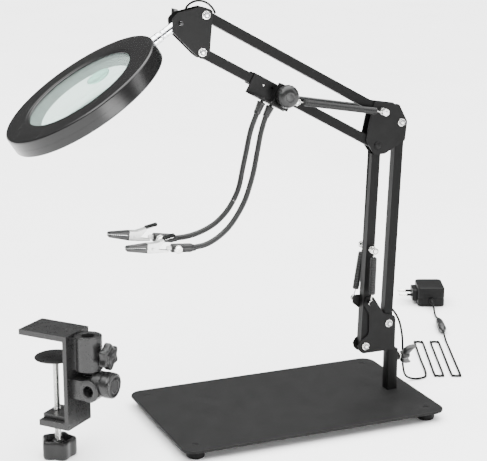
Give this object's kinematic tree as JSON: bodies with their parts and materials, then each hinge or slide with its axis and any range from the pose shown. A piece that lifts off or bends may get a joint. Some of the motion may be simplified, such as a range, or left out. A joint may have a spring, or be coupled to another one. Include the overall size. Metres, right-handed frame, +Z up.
{
  "type": "helping hands station with ring magnifier lamp",
  "caption": "Weighted plate with a spring-balanced parallelogram arm, ring magnifier lamp, clip holder on flexible arms, supply lead and a loose desk clamp.",
  "frame": {"origin": "on the desk, at the middle of the box that holds the station and the loose clamp, cord aside", "axes": "+Z up, +X from the lamp towards the post along the base's long side, +Y to the back"},
  "size_m": [0.6658, 0.4097, 0.4514],
  "materials": {
    "painted_steel": "satin black powder coat",
    "zinc_plated": "bright zinc-plated steel",
    "spring_steel": "blackened spring steel",
    "chrome": "polished chrome plate",
    "black_plastic": "satin black moulded plastic",
    "grey_plastic": "grey moulded plastic",
    "black_rubber": "soft black rubber and cable sheath",
    "white_board": "white LED board",
    "frosted_plastic": "frosted white light cover",
    "clear_lens": "clear polished lens, faintly green"
  },
  "bodies": {
    "base": {"base_plate": "painted_steel", "foot_front_left": "black_rubber", "foot_front_right": "black_rubber", "foot_rear_left": "black_rubber", "foot_rear_right": "black_rubber", "base_post": "painted_steel", "lamp_cord": "black_rubber", "dc_socket": "black_plastic", "dc_plug": "black_plastic", "adapter_lead": "black_rubber", "adapter_case": "black_plastic"},
    "post_screw": {"post_wing_screw": "painted_steel"},
    "swivel_bracket": {"lower_bracket": "painted_steel", "lower_bolt_rear": "zinc_plated", "lower_bolt_front": "zinc_plated", "lower_spring_front": "spring_steel", "lower_spring_rear": "spring_steel"},
    "rear_tube": {"lower_rear_tube": "painted_steel"},
    "front_tube": {"lower_front_tube": "painted_steel"},
    "elbow": {"elbow_bracket": "painted_steel", "elbow_bolt_rear": "zinc_plated", "elbow_bolt_shared": "zinc_plated", "elbow_spring_bolt": "zinc_plated", "upper_spring_front": "spring_steel", "upper_spring_rear": "spring_steel"},
    "top_tube": {"upper_top_tube": "painted_steel"},
    "bottom_tube": {"upper_bottom_tube": "painted_steel"},
    "head": {"head_bracket": "painted_steel", "head_bolt_top": "zinc_plated", "head_bolt_bottom": "zinc_plated", "head_cable": "black_rubber"},
    "knuckle": {"head_knuckle": "chrome"},
    "tilt_screw": {"tilt_wing_screw": "painted_steel"},
    "lamp": {"ring_stem": "chrome", "ring_top_housing": "black_plastic", "ring_bottom_housing": "black_plastic", "led_board": "white_board", "light_diffuser": "frosted_plastic", "magnifier_lens": "clear_lens"},
    "button": {"power_button": "grey_plastic"},
    "holder": {"clip_holder": "painted_steel", "ferrule_rear": "black_plastic", "ferrule_front": "black_plastic"},
    "knob": {"holder_knob": "black_plastic"},
    "clamp": {"desk_clamp_frame": "painted_steel"},
    "clamp_disc": {"desk_clamp_disc": "painted_steel"},
    "clamp_screw": {"desk_clamp_screw": "black_plastic"},
    "clamp_thumb": {"desk_clamp_thumb_screw": "black_plastic"},
    "rear_arm": {"gooseneck_rear_upper": "black_rubber"},
    "rear_arm_end": {"gooseneck_rear_lower": "black_rubber", "clip_socket_rear": "black_plastic"},
    "rear_socket_screw": {"socket_screw_rear": "zinc_plated"},
    "rear_clip": {"clip_lower_jaw_rear": "zinc_plated"},
    "rear_clip_jaw": {"clip_upper_jaw_rear": "zinc_plated"},
    "front_arm": {"gooseneck_front_upper": "black_rubber"},
    "front_arm_end": {"gooseneck_front_lower": "black_rubber", "clip_socket_front": "black_plastic"},
    "front_socket_screw": {"socket_screw_front": "zinc_plated"},
    "front_clip": {"clip_lower_jaw_front": "zinc_plated"},
    "front_clip_jaw": {"clip_upper_jaw_front": "zinc_plated"}
  },
  "joints": [
    {"name": "swivel", "type": "hinge", "parent": "base", "child": "swivel_bracket", "pos_m": [0.19646, -0.00725, 0.0603], "axis": [0, 0, 1], "range_deg": [-90, 90], "deforming": ["lamp_cord"]},
    {"name": "post_screw_turn", "type": "hinge", "parent": "base", "child": "post_screw", "pos_m": [0.20651, -0.00725, 0.0495], "axis": [1, 0, 0], "continuous": true},
    {"name": "lower_arm_tilt", "type": "hinge", "parent": "swivel_bracket", "child": "rear_tube", "pos_m": [0.18946, -0.00725, 0.0915], "axis": [0, 1, 0], "range_deg": [-45, 18], "deforming": ["lower_spring_front", "lower_spring_rear"]},
    {"name": "lower_front_follow", "type": "hinge", "parent": "swivel_bracket", "child": "front_tube", "pos_m": [0.16136, -0.00725, 0.0685], "axis": [0, 1, 0], "range_deg": [-45, 18]},
    {"name": "elbow_level", "type": "hinge", "parent": "rear_tube", "child": "elbow", "pos_m": [0.19842, -0.00725, 0.31452], "axis": [0, 1, 0], "range_deg": [-18, 45]},
    {"name": "upper_arm_tilt", "type": "hinge", "parent": "elbow", "child": "top_tube", "pos_m": [0.17442, -0.00725, 0.32802], "axis": [0, 1, 0], "range_deg": [-30, 22], "deforming": ["upper_spring_front", "upper_spring_rear"]},
    {"name": "upper_bottom_follow", "type": "hinge", "parent": "elbow", "child": "bottom_tube", "pos_m": [0.17032, -0.00725, 0.29152], "axis": [0, 1, 0], "range_deg": [-30, 22]},
    {"name": "head_level", "type": "hinge", "parent": "top_tube", "child": "head", "pos_m": [-0.02319, -0.00725, 0.43666], "axis": [0, 1, 0], "range_deg": [-22, 30], "deforming": ["head_cable"]},
    {"name": "head_tilt", "type": "hinge", "parent": "head", "child": "knuckle", "pos_m": [-0.04964, -0.00725, 0.4293], "axis": [0, 1, 0], "range_deg": [-40, 45]},
    {"name": "tilt_screw_turn", "type": "hinge", "parent": "head", "child": "tilt_screw", "pos_m": [-0.04964, -0.00015, 0.4293], "axis": [0, 1, 0], "continuous": true},
    {"name": "head_turn", "type": "hinge", "parent": "knuckle", "child": "lamp", "pos_m": [-0.04964, -0.00725, 0.4293], "axis": [0.8339, 0, 0.5519], "range_deg": [-90, 90]},
    {"name": "button_press", "type": "slide", "parent": "lamp", "child": "button", "axis": [-0.6388, -0.6428, -0.4228], "range_m": [0, 0.001], "stiffness_N_per_m": 400},
    {"name": "holder_slide", "type": "slide", "parent": "bottom_tube", "child": "holder", "axis": [0.8763, 0, -0.4818], "range_m": [-0.03, 0]},
    {"name": "holder_knob_turn", "type": "hinge", "parent": "holder", "child": "knob", "pos_m": [0.05859, -0.02255, 0.35294], "axis": [0, -1, 0], "continuous": true},
    {"name": "clamp_lift", "type": "slide", "parent": "base", "child": "clamp", "axis": [0, 0, 1], "range_m": [0, 0.1]},
    {"name": "clamp_tighten", "type": "slide", "parent": "clamp", "child": "clamp_disc", "axis": [0, 0, 1], "range_m": [0, 0.017]},
    {"name": "clamp_screw_turn", "type": "hinge", "parent": "clamp_disc", "child": "clamp_screw", "pos_m": [-0.18754, -0.01625, 0], "axis": [0, 0, 1], "range_deg": [0, 4081]},
    {"name": "clamp_thumb_turn", "type": "hinge", "parent": "clamp", "child": "clamp_thumb", "pos_m": [-0.15296, -0.05746, 0.1155], "axis": [0.6428, -0.766, 0], "continuous": true},
    {"name": "rear_arm_bend", "type": "hinge", "parent": "holder", "child": "rear_arm", "pos_m": [0.02693, -0.02325, 0.33637], "axis": [0, 1, 0], "range_deg": [-20, 20], "deforming": ["gooseneck_rear_upper"]},
    {"name": "rear_arm_end_bend", "type": "hinge", "parent": "rear_arm", "child": "rear_arm_end", "pos_m": [0.00133, -0.02325, 0.24917], "axis": [0, 1, 0], "range_deg": [-25, 25], "deforming": ["gooseneck_rear_lower"]},
    {"name": "rear_socket_screw_turn", "type": "hinge", "parent": "rear_arm_end", "child": "rear_socket_screw", "pos_m": [-0.08022, -0.02775, 0.21889], "axis": [0, -1, 0], "continuous": true},
    {"name": "rear_clip_turn", "type": "hinge", "parent": "rear_arm_end", "child": "rear_clip", "pos_m": [-0.10541, -0.02325, 0.22288], "axis": [-0.9877, 0, 0.1564], "continuous": true},
    {"name": "rear_jaw_open", "type": "hinge", "parent": "rear_clip", "child": "rear_clip_jaw", "pos_m": [-0.10541, -0.02325, 0.22288], "axis": [0, 1, 0], "range_deg": [0, 16], "stiffness_Nm_per_rad": 0.4, "springref_deg": -14.32},
    {"name": "front_arm_bend", "type": "hinge", "parent": "holder", "child": "front_arm", "pos_m": [0.03606, -0.02495, 0.33317], "axis": [0, 1, 0], "range_deg": [-20, 20], "deforming": ["gooseneck_front_upper"]},
    {"name": "front_arm_end_bend", "type": "hinge", "parent": "front_arm", "child": "front_arm_end", "pos_m": [0.00937, -0.03325, 0.24957], "axis": [0, 1, 0], "range_deg": [-25, 25], "deforming": ["gooseneck_front_lower"]},
    {"name": "front_socket_screw_turn", "type": "hinge", "parent": "front_arm_end", "child": "front_socket_screw", "pos_m": [-0.06733, -0.04575, 0.21108], "axis": [0, -1, 0], "continuous": true},
    {"name": "front_clip_turn", "type": "hinge", "parent": "front_arm_end", "child": "front_clip", "pos_m": [-0.09273, -0.04125, 0.21331], "axis": [-0.9962, 0, 0.0872], "continuous": true},
    {"name": "front_jaw_open", "type": "hinge", "parent": "front_clip", "child": "front_clip_jaw", "pos_m": [-0.09273, -0.04125, 0.21331], "axis": [0, 1, 0], "range_deg": [0, 16], "stiffness_Nm_per_rad": 0.4, "springref_deg": -14.32}
  ],
  "couplings": [
    {"joint": "lower_front_follow", "follows": "lower_arm_tilt", "ratio": 1},
    {"joint": "elbow_level", "follows": "lower_arm_tilt", "ratio": -1},
    {"joint": "upper_bottom_follow", "follows": "upper_arm_tilt", "ratio": 1},
    {"joint": "head_level", "follows": "upper_arm_tilt", "ratio": -1},
    {"joint": "clamp_screw_turn", "follows": "clamp_tighten", "rad_per_m": 4188.8}
  ]
}
